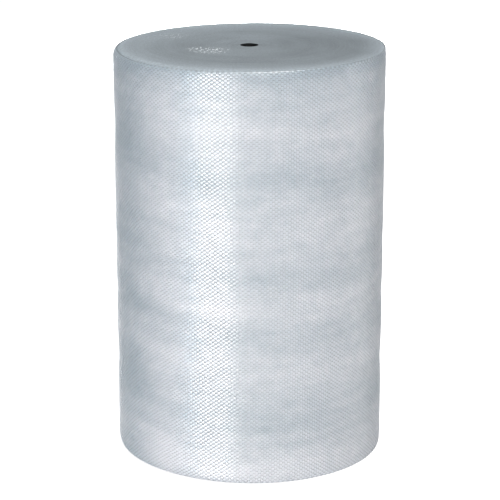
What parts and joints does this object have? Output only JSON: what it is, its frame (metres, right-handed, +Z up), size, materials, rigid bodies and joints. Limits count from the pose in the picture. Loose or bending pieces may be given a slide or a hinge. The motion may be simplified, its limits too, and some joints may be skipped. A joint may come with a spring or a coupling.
{
  "type": "bubble wrap roll",
  "caption": "Large roll of small-bubble wrap, wound on itself round a bare hole, standing on its end ready to pack with.",
  "frame": {"origin": "on the axis of the core hole, in the face that the roll stands on", "axes": "+Z up along the roll, -Y towards the side the picture shows, +Y towards the free end of the film"},
  "size_m": [0.7868, 0.7884, 1.2],
  "materials": {
    "bubble_film": "glossy, clear polythene bubble film that looks bluish white where it is wound"
  },
  "bodies": {
    "root": {"bubble_wrap_roll": "bubble_film"}
  },
  "joints": []
}
